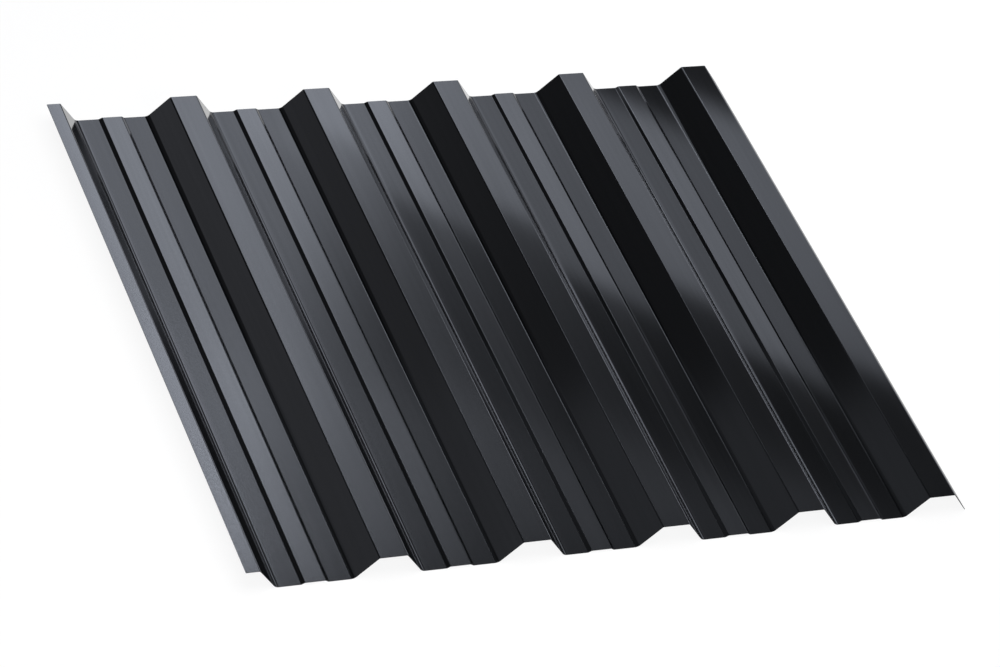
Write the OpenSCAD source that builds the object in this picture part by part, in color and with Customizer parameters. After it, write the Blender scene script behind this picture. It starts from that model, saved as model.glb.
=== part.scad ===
// Trapezoidal profiled steel sheet, roll-formed from one strip of coated coil.
// Across the width (X) the strip is folded into flat-topped ribs and wide valleys,
// each valley with a shallow stiffener along its middle; along Y the section is constant.
// The left edge ends in half a rib, the flange that the next sheet laps over.
// The right edge ends in a whole rib and a short leg, which laps over the next sheet.

/* [Sheet] */
// Length of the sheet along its ribs
sheet_length = 918; // [300:1:3000]
// Thickness of the coated steel
sheet_thickness = 1; // [0.4:0.05:1.5]

/* [Profile] */
// Number of valleys across the sheet
valley_count = 5; // [2:1:6]
// Distance from one rib to the next
rib_pitch = 207; // [195:0.5:230]
// Height from the underside of the valleys to the top of the ribs
profile_height = 35.5; // [25:0.5:45]
// Width of a rib's top between its bend lines
rib_width = 40; // [30:0.5:50]
// Width of a valley between its bend lines
valley_width = 110; // [95:0.5:118]

/* [Stiffener] */
// Width of the valley stiffener at its foot, between bend lines
stiffener_foot_width = 38.5; // [33:0.5:45]
// Width of the stiffener's flat top, between bend lines
stiffener_top_width = 29.5; // [22:0.5:31]
// Rise of the stiffener above the valley
stiffener_height = 2.7; // [1.5:0.1:4]

/* [Side laps] */
// Width of the half rib at the left edge, from the cut edge to its bend line
underlap_width = 20; // [10:0.5:30]
// Drop of the free leg at the right edge, from the rib top to the cut edge
leg_drop = 32.5; // [15:0.5:34]

/* [Bends] */
// Inside radius of the bends at the foot of a rib
foot_bend_radius = 9.75; // [4:0.25:12]
// Inside radius of the bends at the top of a rib
rib_bend_radius = 2.25; // [1:0.25:6]
// Inside radius of the bends of a stiffener
stiffener_bend_radius = 2.5; // [0.5:0.25:3]

/* [Hidden] */

// Flat facets that make up the round of one bend
bend_facets = 6;
half_thickness = sheet_thickness / 2;

// The middle surface of the strip lies at these heights in the valleys, on the stiffeners and on the ribs
valley_z = half_thickness;
stiffener_z = valley_z + stiffener_height;
rib_z = profile_height - half_thickness;

// A slope's run across the sheet, and the share of a full slope that the free leg covers
slope_run = (rib_pitch - rib_width - valley_width) / 2;
slope_rise = rib_z - valley_z;
leg_run = slope_run * leg_drop / slope_rise;

// Bend radii at the middle of the strip
foot_r = foot_bend_radius + half_thickness;
rib_r = rib_bend_radius + half_thickness;
stiffener_r = stiffener_bend_radius + half_thickness;

// The leg's square-cut end reaches this far past the middle surface
leg_edge_reach = half_thickness * slope_rise / norm([slope_run, slope_rise]);
overall_width = underlap_width + slope_run + (valley_count - 1) * rib_pitch
    + valley_width + slope_run + rib_width + leg_run + leg_edge_reach;
left_x = -overall_width / 2;
first_valley_x = left_x + underlap_width + slope_run;

// Bend lines of one valley, its stiffener and the rib to its right, as [x, z, bend radius]
function valley_bends(x) =
    let (middle = x + valley_width / 2, foot = stiffener_foot_width / 2, top = stiffener_top_width / 2)
    [
        [x, valley_z, foot_r],
        [middle - foot, valley_z, stiffener_r],
        [middle - top, stiffener_z, stiffener_r],
        [middle + top, stiffener_z, stiffener_r],
        [middle + foot, valley_z, stiffener_r],
        [x + valley_width, valley_z, foot_r],
        [x + valley_width + slope_run, rib_z, rib_r],
        [x + valley_width + slope_run + rib_width, rib_z, rib_r],
    ];

// Middle line of the strip from the left cut edge to the right one
left_edge = [left_x, rib_z, 0];
left_bend = [left_x + underlap_width, rib_z, rib_r];
last_rib_x = first_valley_x + (valley_count - 1) * rib_pitch + valley_width + slope_run + rib_width;
right_edge = [last_rib_x + leg_run, rib_z - leg_drop, 0];
middle_line = [
    left_edge,
    left_bend,
    for (i = [0 : valley_count - 1]) each valley_bends(first_valley_x + i * rib_pitch),
    right_edge,
];

function point(p) = [p[0], p[1]];
function direction(a, b) = (point(b) - point(a)) / norm(point(b) - point(a));
function left_of(d) = [-d[1], d[0]];
function turned(v, angle) = [v[0] * cos(angle) - v[1] * sin(angle), v[0] * sin(angle) + v[1] * cos(angle)];

// Points around bend b, between its neighbours a and c, on the line that runs `side` to the left
// of the middle line
function bend_points(a, b, c, side) =
    let (
        d = direction(a, b),
        e = direction(b, c),
        turn = atan2(cross(d, e), d * e),
        start = point(b) - d * b[2] * tan(abs(turn) / 2),
        to_centre = left_of(d) * sign(turn),
        centre = start + to_centre * b[2],
        radius = b[2] - sign(turn) * side
    )
    [for (k = [0 : bend_facets]) centre - turned(to_centre, turn * k / bend_facets) * radius];

// One surface of the strip, `side` to the left of the middle line
function surface_line(side) =
    let (last = len(middle_line) - 1)
    [
        point(middle_line[0]) + left_of(direction(middle_line[0], middle_line[1])) * side,
        for (i = [1 : last - 1]) each bend_points(middle_line[i - 1], middle_line[i], middle_line[i + 1], side),
        point(middle_line[last]) + left_of(direction(middle_line[last - 1], middle_line[last])) * side,
    ];

function reversed(list) = [for (i = [len(list) - 1 : -1 : 0]) list[i]];

// The whole sheet: the folded strip's section, run along the ribs
module profiled_sheet() {
    color([0.1, 0.102, 0.107])
        rotate([90, 0, 0])
            linear_extrude(height = sheet_length, center = true)
                polygon(concat(surface_line(-half_thickness), reversed(surface_line(half_thickness))));
}

profiled_sheet();
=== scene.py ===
import math

import bpy
import numpy as np
from mathutils import Matrix, Vector


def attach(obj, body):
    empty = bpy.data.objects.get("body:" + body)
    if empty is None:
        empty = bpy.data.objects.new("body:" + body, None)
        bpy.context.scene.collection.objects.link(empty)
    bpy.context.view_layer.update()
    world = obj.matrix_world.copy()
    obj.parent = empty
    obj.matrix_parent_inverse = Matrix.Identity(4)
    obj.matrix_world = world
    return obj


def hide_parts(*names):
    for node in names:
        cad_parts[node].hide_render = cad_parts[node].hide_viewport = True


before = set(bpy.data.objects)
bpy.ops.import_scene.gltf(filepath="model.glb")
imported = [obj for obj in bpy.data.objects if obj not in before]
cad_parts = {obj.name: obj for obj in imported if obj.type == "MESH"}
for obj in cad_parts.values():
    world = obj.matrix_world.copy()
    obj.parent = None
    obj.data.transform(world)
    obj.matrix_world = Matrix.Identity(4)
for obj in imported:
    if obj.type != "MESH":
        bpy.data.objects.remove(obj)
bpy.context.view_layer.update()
scene = bpy.context.scene

# Camera: a long lens that looks down on the sheet from in front and to the left. It is rolled, so the ribs
# run from the upper left of the picture to the lower right.
CAMERA_EYE = Vector((-2.41278, -3.74315, 3.81544))
CAMERA_AIM = Vector((-0.01183, -0.03790, 0.0005))
CAMERA_ROLL = math.radians(17.9915)
SENSOR_MM = 36.0
LENS_MM = 149.435
FAR_CLIP = 200.0
PLUMB = Vector((0.0, 0.0, 1.0))

forward = (CAMERA_AIM - CAMERA_EYE).normalized()
level_right = forward.cross(PLUMB).normalized()
level_up = level_right.cross(forward)
right = level_right * math.cos(CAMERA_ROLL) + level_up * math.sin(CAMERA_ROLL)
up = right.cross(forward)
camera_data = bpy.data.cameras.new("camera")
camera_data.sensor_fit = "HORIZONTAL"
camera_data.sensor_width = SENSOR_MM
camera_data.lens = LENS_MM
camera_data.clip_end = FAR_CLIP
camera = bpy.data.objects.new("camera", camera_data)
camera.matrix_world = Matrix.Translation(CAMERA_EYE) @ Matrix((right, up, -forward)).transposed().to_4x4()
scene.collection.objects.link(camera)
scene.camera = camera

# The sheet: one strip of steel coil, galvanised and painted, which rolls fold into flat ribs and wide
# valleys, each valley with a shallow stiffener. The upper face has a black polyester top coat, the
# underside a thin grey back coat, and the sheared edges show the steel between them.
THICKNESS = 0.001
SHEET_LENGTH = 0.918
VALLEYS = 5
PITCH = 0.207
DEPTH = 0.0355
RIB_TOP = 0.040
VALLEY = 0.110
STIFFENER_FOOT = 0.0385
STIFFENER_TOP = 0.0295
STIFFENER_RISE = 0.0027
UNDERLAP = 0.020
LEG_DROP = 0.0325

# Bend radii at the middle of the strip
FOOT_BEND = 0.01025
RIB_BEND = 0.00275
STIFFENER_BEND = 0.003

# Painted sheen: each kind of face has its own share of full gloss, which makes faces of the same slope
# lighter or darker than the lights alone do. The feet of the slopes that face right get a painted highlight
# band, a raised share over a short reach to both sides.
VALLEY_GLOSS = 0.45
STIFFENER_GLOSS = 0.76
RIB_GLOSS = 0.67
LEFT_SLOPE_GLOSS = 0.50
RIGHT_SLOPE_GLOSS = 1.0
FLANGE_GLOSS = 1.0
LEG_GLOSS = 0.46
FOOT_HIGHLIGHT_GLOSS = 0.90
FOOT_REACH = 0.0045

BEND_STEPS = 10
FLAT_STEPS = 12
LENGTH_STEPS = 24


def bend_lines():
    """The strip's middle line from its left cut edge to its right one, as rows of x, z, bend radius and the
    gloss of the face that follows. Each pitch repeats the same eight bend lines, at x + pitch times its
    number; the whole is centred on x = 0."""
    slope_run = (PITCH - RIB_TOP - VALLEY) / 2
    slope_rise = DEPTH - THICKNESS
    leg_run = slope_run * LEG_DROP / slope_rise
    low = THICKNESS / 2
    high = DEPTH - THICKNESS / 2
    raised = low + STIFFENER_RISE
    valley_x = UNDERLAP + slope_run + PITCH * np.arange(VALLEYS)
    centre = valley_x + VALLEY / 2
    foot = STIFFENER_FOOT / 2
    top = STIFFENER_TOP / 2
    rib_x = valley_x + VALLEY + slope_run
    across = np.stack([valley_x, centre - foot, centre - top, centre + top, centre + foot,
                       valley_x + VALLEY, rib_x, rib_x + RIB_TOP], axis=1)
    height = [low, low, raised, raised, low, low, high, high]
    radius = [FOOT_BEND] + 4 * [STIFFENER_BEND] + [FOOT_BEND] + 2 * [RIB_BEND]
    gloss = [VALLEY_GLOSS, LEFT_SLOPE_GLOSS, STIFFENER_GLOSS, RIGHT_SLOPE_GLOSS,
             VALLEY_GLOSS, LEFT_SLOPE_GLOSS, RIB_GLOSS, RIGHT_SLOPE_GLOSS]
    columns = [np.tile(column, (VALLEYS, 1)) for column in (height, radius, gloss)]
    pitches = np.stack([across, *columns], axis=2).reshape(-1, 4)
    pitches[-1, 3] = LEG_GLOSS
    left_edge = [0.0, high, 0.0, FLANGE_GLOSS]
    left_bend = [UNDERLAP, high, RIB_BEND, RIGHT_SLOPE_GLOSS]
    right_edge = [rib_x[-1] + RIB_TOP + leg_run, high - LEG_DROP, 0.0, LEG_GLOSS]
    rows = np.concatenate([[left_edge, left_bend], pitches, [right_edge]])
    edge_reach = THICKNESS / 2 * slope_rise / math.hypot(slope_run, slope_rise)
    rows[:, 0] -= (rows[-1, 0] + edge_reach) / 2
    return rows


def strip_section(rows):
    """Points along the middle line as x, z, heading and gloss. Every bend is an arc that touches the flats on
    both sides, centred one radius off the flat; heading and gloss change evenly round it. Gloss also rises
    near the feet of the slopes that face right, with the bell curve exp(-(distance / reach) squared)."""
    points = rows[:, :2]
    runs = np.diff(points, axis=0)
    along = runs / np.linalg.norm(runs, axis=1, keepdims=True)
    heading = np.arctan2(along[:, 1], along[:, 0])
    turn = np.diff(heading)
    sense = np.sign(turn)
    radius = rows[1:-1, 2]
    start = points[1:-1] - along[:-1] * (radius * np.tan(np.abs(turn) / 2))[:, None]
    inward = np.stack([-along[:-1, 1], along[:-1, 0]], axis=1) * sense[:, None]
    centre = start + inward * radius[:, None]
    share = np.linspace(0.0, 1.0, BEND_STEPS + 1)
    angle = heading[:-1, None] + turn[:, None] * share
    outward = np.stack([np.sin(angle), -np.cos(angle)], axis=2) * sense[:, None, None]
    arc = centre[:, None] + outward * radius[:, None, None]
    gloss = rows[:-2, 3, None] + (rows[1:-1, 3] - rows[:-2, 3])[:, None] * share
    bends = np.concatenate([arc, angle[..., None], gloss[..., None]], axis=2)
    first = np.array([[*points[0], heading[0], rows[0, 3]]])
    last = np.array([[*points[-1], heading[-1], rows[-2, 3]]])
    leave = np.concatenate([first, bends[:, -1]])[:, None]
    arrive = np.concatenate([bends[:, 0], last])[:, None]
    flats = leave + (arrive - leave) * np.linspace(0.0, 1.0, FLAT_STEPS + 1)[1:-1, None]
    body = np.concatenate([flats[:-1], bends], axis=1).reshape(-1, 4)
    strip = np.concatenate([first, body, flats[-1], last])
    # The gloss near the feet of the slopes that face right is raised, a painted highlight band.
    feet = rows[np.isclose(rows[:, 2], FOOT_BEND), 0][::2]
    distance = np.abs(strip[:, :1] - feet).min(axis=1)
    foot_highlight = VALLEY_GLOSS + (FOOT_HIGHLIGHT_GLOSS - VALLEY_GLOSS) * np.exp(-(distance / FOOT_REACH) ** 2)
    strip[:, 3] = np.maximum(strip[:, 3], foot_highlight)
    return strip


def quads(corners):
    """The quads between neighbours in a grid of vertex numbers, counter-clockwise when columns run to the
    right and rows run away from the viewer."""
    around = [corners[:-1, :-1], corners[:-1, 1:], corners[1:, 1:], corners[1:, :-1]]
    return np.stack(around, axis=2).reshape(-1, 4)


strip = strip_section(bend_lines())
stations = np.linspace(-SHEET_LENGTH / 2, SHEET_LENGTH / 2, LENGTH_STEPS + 1)
grid_shape = (len(stations), len(strip))
upright = np.zeros((*grid_shape, 3))
upright[..., 0] = -np.sin(strip[:, 2])
upright[..., 2] = np.cos(strip[:, 2])
middle = np.empty((*grid_shape, 3))
middle[..., 0] = strip[:, 0]
middle[..., 1] = stations[:, None]
middle[..., 2] = strip[:, 1]
upper = middle + upright * THICKNESS / 2
lower = middle - upright * THICKNESS / 2
vertices = np.concatenate([upper.reshape(-1, 3), lower.reshape(-1, 3)])
upper_id = np.arange(upper.size // 3).reshape(grid_shape)
lower_id = upper_id + upper_id.size
face_groups = [
    quads(upper_id),
    quads(lower_id[:, ::-1]),
    quads(np.stack([lower_id[0], upper_id[0]])),
    quads(np.stack([upper_id[-1], lower_id[-1]])),
    quads(np.stack([upper_id[:, 0], lower_id[:, 0]])),
    quads(np.stack([lower_id[:, -1], upper_id[:, -1]])),
]
faces = np.concatenate(face_groups)
sheet_mesh = bpy.data.meshes.new("profiled_sheet_rolled")
sheet_mesh.from_pydata(vertices.tolist(), [], faces.tolist())

# Each corner takes the strip's own normal, so that a bend shades as a round, a flat stays flat and an edge
# is sharp.
upright = upright.reshape(-1, 3)
left_end = [-np.cos(strip[0, 2]), 0.0, -np.sin(strip[0, 2])]
right_end = [np.cos(strip[-1, 2]), 0.0, np.sin(strip[-1, 2])]
edge_normals = [[0.0, -1.0, 0.0], [0.0, 1.0, 0.0], left_end, right_end]
corner_normals = [upright[face_groups[0].ravel()], -upright[face_groups[1].ravel() - upper_id.size]]
corner_normals += [np.tile(normal, (group.size, 1)) for normal, group in zip(edge_normals, face_groups[2:])]
sheet_mesh.polygons.foreach_set("use_smooth", np.ones(len(faces), bool))
sheet_mesh.normals_split_custom_set(np.concatenate(corner_normals).tolist())
gloss_layer = sheet_mesh.attributes.new("gloss", "FLOAT", "POINT")
gloss_layer.data.foreach_set("value", np.tile(strip[:, 3], 2 * len(stations)).astype(np.float32))

# Material slots of the upper face, the underside and the four cut edges
finish_slots = np.repeat([0, 1, 2, 2, 2, 2], [len(group) for group in face_groups])
sheet_mesh.polygons.foreach_set("material_index", finish_slots.astype(np.int32))


def linear(hex_colour):
    """An sRGB hex colour as linear RGBA."""
    srgb = np.array([int(hex_colour[i:i + 2], 16) for i in (1, 3, 5)]) / 255
    rgb = np.where(srgb <= 0.04045, srgb / 12.92, ((srgb + 0.055) / 1.055) ** 2.4)
    return (*rgb.tolist(), 1.0)


def add(tree, kind, settings, links=None):
    """Adds a node. A setting is a socket's value where the name or number is a socket's, else the node's
    own."""
    node = tree.nodes.new("ShaderNode" + kind)
    for name, value in settings.items():
        if isinstance(name, int) or name in node.inputs:
            node.inputs[name].default_value = value
        else:
            setattr(node, name, value)
    for name, output in (links or {}).items():
        tree.links.new(output, node.inputs[name])
    return node


def new_tree(owner):
    """Gives a material or world an empty node tree and returns it."""
    owner.use_nodes = True
    owner.node_tree.nodes.clear()
    return owner.node_tree


# Sockets of a Map Range node that maps to colours: what it reads, and the colours it runs between
SHADE_INPUT = 6
SHADE_FROM = 9
SHADE_TO = 10

# Coil-coated polyester: a smooth, nearly black film whose clear resin skin mirrors the room. It shows long
# faint streaks along the rolling direction, about 5 mm wide, and the low ripple of a film that levelled in
# the oven. The real ripple is about 2 mm from crest to crest; it is drawn at 6 mm, so that it shows.
PAINT_DARK = "#040505"
PAINT_LIGHT = "#070708"
PAINT_ROUGHNESS = 0.5
SKIN_ROUGHNESS = 0.095
SKIN_IOR = 1.6
STREAK_WIDTH = 0.005
STREAK_LENGTH = 0.4
STREAK_SWING = 0.04
NOISE_LOW = 0.3
NOISE_HIGH = 0.7
RIPPLE = 0.006
RIPPLE_HEIGHT = 0.0000005

paint = bpy.data.materials.new("polyester_coil_coat_black")
tree = new_tree(paint)
place = add(tree, "TexCoord", {})
rolled = add(tree, "Mapping", {"Scale": (1 / STREAK_WIDTH, 1 / STREAK_LENGTH, 1 / STREAK_WIDTH)},
             {"Vector": place.outputs["Object"]})
streaks = add(tree, "TexNoise", {"Scale": 1.0, "Detail": 2.0}, {"Vector": rolled.outputs["Vector"]})
streak_gloss = add(tree, "MapRange",
                   {"From Min": NOISE_LOW, "From Max": NOISE_HIGH,
                    "To Min": 1.0 - STREAK_SWING, "To Max": 1.0 + STREAK_SWING},
                   {"Value": streaks.outputs["Fac"]})
# The coat's share from the gloss attribute is painted sheen: it makes some kinds of face lighter and others
# darker than the lights alone do.
painted_sheen_share = add(tree, "Attribute", {"attribute_name": "gloss"})
coat = add(tree, "Math", {"operation": "MULTIPLY", "use_clamp": True},
           {0: painted_sheen_share.outputs["Fac"], 1: streak_gloss.outputs["Result"]})
shade = add(tree, "MapRange",
            {"data_type": "FLOAT_VECTOR",
             SHADE_FROM: linear(PAINT_DARK)[:3], SHADE_TO: linear(PAINT_LIGHT)[:3]},
            {SHADE_INPUT: streaks.outputs["Fac"]})
levelling = add(tree, "TexNoise", {"Scale": 1 / RIPPLE, "Detail": 1.0}, {"Vector": place.outputs["Object"]})
ripple = add(tree, "Bump", {"Distance": RIPPLE_HEIGHT}, {"Height": levelling.outputs["Fac"]})
shader = add(tree, "BsdfPrincipled",
             {"Roughness": PAINT_ROUGHNESS, "Specular IOR Level": 0.0,
              "Coat Roughness": SKIN_ROUGHNESS, "Coat IOR": SKIN_IOR},
             {"Base Color": shade.outputs["Vector"], "Coat Weight": coat.outputs["Value"],
              "Normal": ripple.outputs["Normal"], "Coat Normal": ripple.outputs["Normal"]})
add(tree, "OutputMaterial", {}, {"Surface": shader.outputs["BSDF"]})

# Epoxy back coat: a thin primer rolled on the underside, light grey and nearly matt. Where the film is thin
# the zinc below darkens it, in soft clouds some 30 mm across.
BACK_COAT_THIN = "#83878a"
BACK_COAT_FULL = "#9a9d9e"
BACK_COAT_SMOOTH = 0.45
BACK_COAT_DULL = 0.62
BACK_RIPPLE_HEIGHT = 0.000008
CLOUD = 0.030

back_coat = bpy.data.materials.new("epoxy_back_coat_grey")
tree = new_tree(back_coat)
place = add(tree, "TexCoord", {})
clouds = add(tree, "TexNoise", {"Scale": 1 / CLOUD, "Detail": 4.0}, {"Vector": place.outputs["Object"]})
shade = add(tree, "MapRange",
            {"data_type": "FLOAT_VECTOR",
             SHADE_FROM: linear(BACK_COAT_THIN)[:3], SHADE_TO: linear(BACK_COAT_FULL)[:3]},
            {SHADE_INPUT: clouds.outputs["Fac"]})
dull = add(tree, "MapRange", {"To Min": BACK_COAT_SMOOTH, "To Max": BACK_COAT_DULL},
           {"Value": clouds.outputs["Fac"]})
levelling = add(tree, "TexNoise", {"Scale": 1 / RIPPLE, "Detail": 2.0}, {"Vector": place.outputs["Object"]})
ripple = add(tree, "Bump", {"Distance": BACK_RIPPLE_HEIGHT}, {"Height": levelling.outputs["Fac"]})
shader = add(tree, "BsdfPrincipled", {},
             {"Base Color": shade.outputs["Vector"], "Roughness": dull.outputs["Result"],
              "Normal": ripple.outputs["Normal"]})
add(tree, "OutputMaterial", {}, {"Surface": shader.outputs["BSDF"]})

# Sheared steel: the strip's cut edge, which oil and tarnish have turned nearly black. The blade left marks
# about 1 mm apart, smoother and darker where it slid and rougher and paler where the metal tore.
EDGE_SLID = "#121315"
EDGE_TORN = "#26272a"
SLID_ROUGHNESS = 0.3
TORN_ROUGHNESS = 0.55
SHEAR_MARK = 0.001

cut_steel = bpy.data.materials.new("sheared_galvanised_steel")
tree = new_tree(cut_steel)
place = add(tree, "TexCoord", {})
marks = add(tree, "TexNoise", {"Scale": 1 / SHEAR_MARK, "Detail": 1.0}, {"Vector": place.outputs["Object"]})
shade = add(tree, "MapRange",
            {"data_type": "FLOAT_VECTOR",
             SHADE_FROM: linear(EDGE_SLID)[:3], SHADE_TO: linear(EDGE_TORN)[:3]},
            {SHADE_INPUT: marks.outputs["Fac"]})
torn = add(tree, "MapRange", {"To Min": SLID_ROUGHNESS, "To Max": TORN_ROUGHNESS},
           {"Value": marks.outputs["Fac"]})
shader = add(tree, "BsdfPrincipled", {"Metallic": 1.0},
             {"Base Color": shade.outputs["Vector"], "Roughness": torn.outputs["Result"]})
add(tree, "OutputMaterial", {}, {"Surface": shader.outputs["BSDF"]})

for finish in (paint, back_coat, cut_steel):
    sheet_mesh.materials.append(finish)
sheet = bpy.data.objects.new("profiled_sheet_rolled", sheet_mesh)
scene.collection.objects.link(sheet)
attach(sheet, "root")
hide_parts("profiled_sheet")

# Floor: a wide sheet of white studio paper under the object. It is white to the camera and in the paint's
# mirror image, and its own grey takes the object's faint shadow.
FLOOR_HALF = 40.0
FLOOR_BELOW = 0.0002
FLOOR_GLOW = 0.90
PAPER_GREY = "#5a5a5a"
PAPER_ROUGHNESS = 0.9
WHITE = "#ffffff"

paper = bpy.data.materials.new("white_studio_paper")
tree = new_tree(paper)
ray = add(tree, "LightPath", {})
mirrored = add(tree, "Math", {"operation": "MAXIMUM"},
               {0: ray.outputs["Is Glossy Ray"], 1: ray.outputs["Is Transmission Ray"]})
seen = add(tree, "Math", {"operation": "MAXIMUM"},
           {0: ray.outputs["Is Camera Ray"], 1: mirrored.outputs["Value"]})
glow = add(tree, "Math", {"operation": "MULTIPLY", 1: FLOOR_GLOW}, {0: seen.outputs["Value"]})
shader = add(tree, "BsdfPrincipled",
             {"Base Color": linear(PAPER_GREY), "Roughness": PAPER_ROUGHNESS, "Specular IOR Level": 0.0,
              "Emission Color": linear(WHITE)},
             {"Emission Strength": glow.outputs["Value"]})
add(tree, "OutputMaterial", {}, {"Surface": shader.outputs["BSDF"]})
floor_mesh = bpy.data.meshes.new("floor")
floor_corners = np.array([(-1, -1, 0), (1, -1, 0), (1, 1, 0), (-1, 1, 0)]) * FLOOR_HALF
floor_mesh.from_pydata((floor_corners - (0.0, 0.0, FLOOR_BELOW)).tolist(), [], [(0, 1, 2, 3)])
floor_mesh.materials.append(paper)
floor = bpy.data.objects.new("floor", floor_mesh)
scene.collection.objects.link(floor)

# Studio light: softboxes behind the sheet, which its flats mirror towards the camera, dim panels above it,
# to its left and behind the camera, and bright boxes overhead and in front. Each is a glowing cloth that
# light passes through, so boxes that overlap add up. Two black cards keep them out of the bends.
MIRROR_AXIS = Vector((forward.x, forward.y, -forward.z))
ACROSS = MIRROR_AXIS.cross(PLUMB).normalized()
UPWARD = ACROSS.cross(MIRROR_AXIS)
COOL_WHITE = "#e9f0ff"
BLACK_FELT = "#050505"


def stage_plane(name, material, corner, across, upward):
    """A plane from its lower left corner along two edge vectors, which shows in mirror images only. Its
    points are corner + u times across + v times upward, and u and v are its UV map."""
    grid = np.array([(0.0, 0.0), (1.0, 0.0), (1.0, 1.0), (0.0, 1.0)])
    points = np.array(corner) + grid @ np.array([across, upward])
    mesh = bpy.data.meshes.new(name)
    mesh.from_pydata(points.tolist(), [], [(0, 1, 2, 3)])
    mesh.uv_layers.new(name="box").data.foreach_set("uv", grid.ravel())
    mesh.materials.append(material)
    plane = bpy.data.objects.new(name, mesh)
    plane.visible_camera = False
    plane.visible_shadow = False
    scene.collection.objects.link(plane)


def softbox(name, place, strength, fade, tint=COOL_WHITE, falloff=1.0):
    """A glowing plane at a place that names its corner and two edge vectors. fade is the share of the width
    or height over which each edge fades to nothing: left, right, bottom, top. Each fade is a smooth step,
    and the one at the right end is raised to the power falloff."""
    cloth = bpy.data.materials.new(name + "_cloth")
    tree = new_tree(cloth)
    position = add(tree, "UVMap", {"uv_map": "box"})
    axes = add(tree, "SeparateXYZ", {}, {"Vector": position.outputs["UV"]})
    edges = [("X", 1.0, 1.0 - fade[1], 1.0), ("X", 0.0, fade[0], strength),
             ("Y", 0.0, fade[2], 1.0), ("Y", 1.0, 1.0 - fade[3], 1.0)]
    steps = [add(tree, "MapRange",
                 {"interpolation_type": "SMOOTHSTEP", "From Min": outer, "From Max": inner, "To Max": peak},
                 {"Value": axes.outputs[axis]})
             for axis, outer, inner, peak in edges]
    glow = add(tree, "Math", {"operation": "POWER", 1: falloff}, {0: steps[0].outputs["Result"]})
    for step in steps[1:]:
        glow = add(tree, "Math", {"operation": "MULTIPLY"},
                   {0: glow.outputs["Value"], 1: step.outputs["Result"]})
    emission = add(tree, "Emission", {"Color": linear(tint)}, {"Strength": glow.outputs["Value"]})
    clear = add(tree, "BsdfTransparent", {})
    both = add(tree, "AddShader", {}, {0: emission.outputs["Emission"], 1: clear.outputs["BSDF"]})
    add(tree, "OutputMaterial", {}, {"Surface": both.outputs["Shader"]})
    stage_plane(name, cloth, **place)


def black_card(name, place):
    """A plane of black felt, at a place like a softbox's, that hides what stands behind it."""
    felt = bpy.data.materials.new(name + "_felt")
    tree = new_tree(felt)
    shader = add(tree, "BsdfDiffuse", {"Color": linear(BLACK_FELT)})
    add(tree, "OutputMaterial", {}, {"Surface": shader.outputs["BSDF"]})
    stage_plane(name, felt, **place)


def facing(distance, left, right_end, low, high, rise=0.0, lean=0.0):
    """The place of a plane square to the ray that the flats mirror to the camera, at this distance from the
    sheet. Its edges are metres to the right of that ray and above it; rise is how far its right end stands
    above its left end, and lean how far its top edge lies to the right of its bottom edge."""
    return dict(corner=MIRROR_AXIS * distance + ACROSS * left + UPWARD * low,
                across=ACROSS * (right_end - left) + UPWARD * rise,
                upward=UPWARD * (high - low) + ACROSS * lean)


softbox("strip_box", facing(1.0, left=-0.584, right_end=1.1, low=-0.491, high=-0.154, rise=0.17),
        strength=1.79, fade=(0.205, 0.44, 0.151, 0.10))
softbox("low_box", facing(1.05, left=0.252, right_end=1.8, low=-0.826, high=-0.423),
        strength=2.2, fade=(0.11, 0.15, 0.1, 0.1))
softbox("right_spot", facing(1.1, left=0.68, right_end=1.35, low=-0.36, high=-0.03),
        strength=2.0, fade=(0.2, 0.15, 0.25, 0.2))
softbox("back_panel", facing(0.95, left=-0.615, right_end=0.417, low=-0.298, high=-0.175, rise=-0.407),
        strength=0.8, fade=(0.1, 0.15, 0.3, 0.25))
softbox("upper_panel", facing(6.0, left=-1.509, right_end=1.961, low=0.34, high=1.81, rise=-0.204),
        strength=0.575, fade=(0.15, 0.1, 0.03, 0.3))
softbox("upper_spot", facing(11.0, left=-1.656, right_end=0.419, low=0.066, high=2.73),
        strength=1.15, fade=(0.5, 0.5, 0.256, 0.846))
softbox("side_box", facing(12.0, left=-2.466, right_end=-0.035, low=-1.151, high=1.973, lean=0.25),
        strength=2.26, fade=(0.06, 0.45, 0.06, 0.08), falloff=4.05)
softbox("side_fill", facing(12.5, left=-2.536, right_end=4.646, low=-1.183, high=2.028, lean=-1.5),
        strength=1.73, fade=(0.06, 0.833, 0.06, 0.08), falloff=5.48)
black_card("left_card", facing(1.95, left=-1.75, right_end=-1.25, low=-0.4, high=0.9, lean=1.126))
black_card("top_card", facing(1.9, left=-0.8, right_end=1.6, low=0.906, high=1.706, rise=-1.086))
softbox("arch_panel",
        dict(corner=(-1.1, 1.2, 1.217), across=(1.77, -0.274, 0.225), upward=(0.0, -0.41, 0.337)),
        strength=0.25, fade=(0.2, 0.2, 0.15, 0.2))
softbox("left_panel",
        dict(corner=(-4.345, 0.2, 0.78), across=(1.613, 1.831, 0.0), upward=(0.563, 0.64, 1.94)),
        strength=0.47, fade=(0.1, 0.04, 0.205, 0.25))
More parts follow.
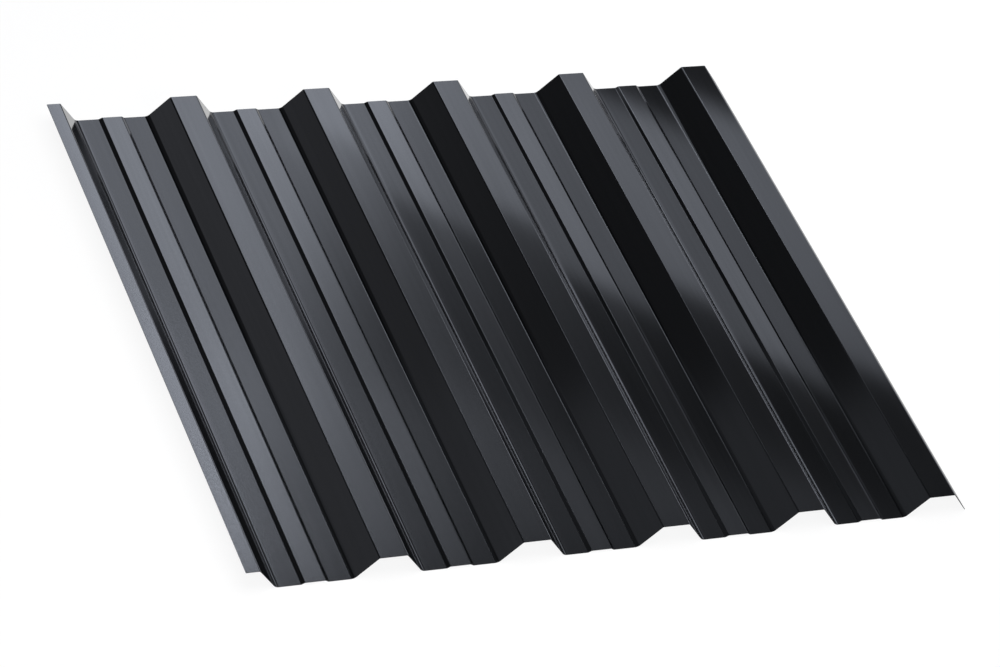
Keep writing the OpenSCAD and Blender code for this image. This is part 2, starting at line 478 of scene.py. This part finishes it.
softbox("overhead_box",
        dict(corner=(-1.8, -1.4, 2.6), across=(3.0, 0.0, 0.0), upward=(0.0, 2.0, 0.0)),
        strength=4.4, fade=(0.1, 0.1, 0.1, 0.1), tint=WHITE)
softbox("rear_panel",
        dict(corner=(-3.768, -2.128, 1.495), across=(3.05, -2.14, 0.0), upward=(0.866, 1.236, 1.93)),
        strength=1.6, fade=(0.35, 0.35, 0.35, 0.35))
softbox("front_box",
        dict(corner=(0.6, -3.4, 1.4), across=(1.8, 1.0, 0.0), upward=(-0.5, -0.2, 1.2)),
        strength=3.4, fade=(0.1, 0.1, 0.1, 0.1), tint=WHITE)

# The room: dim grey walls under a dark ceiling, which the paint mirrors between the softboxes. The walls are
# lighter near the horizon, where the floor's light reaches them. Heights are sines of the angle above it.
HORIZON_TOP = math.sin(math.radians(11.5))
WALL_BASE = math.sin(math.radians(18.3))
WALL_TOP = math.sin(math.radians(41.0))
CEILING = math.sin(math.radians(49.0))
HORIZON_GLOW = 0.86
WALL_GLOW = 0.15
CEILING_SHARE = 0.2
ROOM_TINT = "#eef2ff"

room = bpy.data.worlds.new("studio_room")
tree = new_tree(room)
view = add(tree, "TexCoord", {})
axes = add(tree, "SeparateXYZ", {}, {"Vector": view.outputs["Generated"]})
walls = add(tree, "MapRange",
            {"interpolation_type": "SMOOTHSTEP", "From Min": HORIZON_TOP, "From Max": WALL_BASE,
             "To Min": HORIZON_GLOW, "To Max": WALL_GLOW},
            {"Value": axes.outputs["Z"]})
ceiling = add(tree, "MapRange",
              {"interpolation_type": "SMOOTHSTEP", "From Min": WALL_TOP, "From Max": CEILING,
               "To Min": 1.0, "To Max": CEILING_SHARE},
              {"Value": axes.outputs["Z"]})
level = add(tree, "Math", {"operation": "MULTIPLY"},
            {0: walls.outputs["Result"], 1: ceiling.outputs["Result"]})
background = add(tree, "Background", {"Color": linear(ROOM_TINT)}, {"Strength": level.outputs["Value"]})
add(tree, "OutputWorld", {}, {"Surface": background.outputs["Background"]})
scene.world = room
scene.view_settings.view_transform = "Standard"
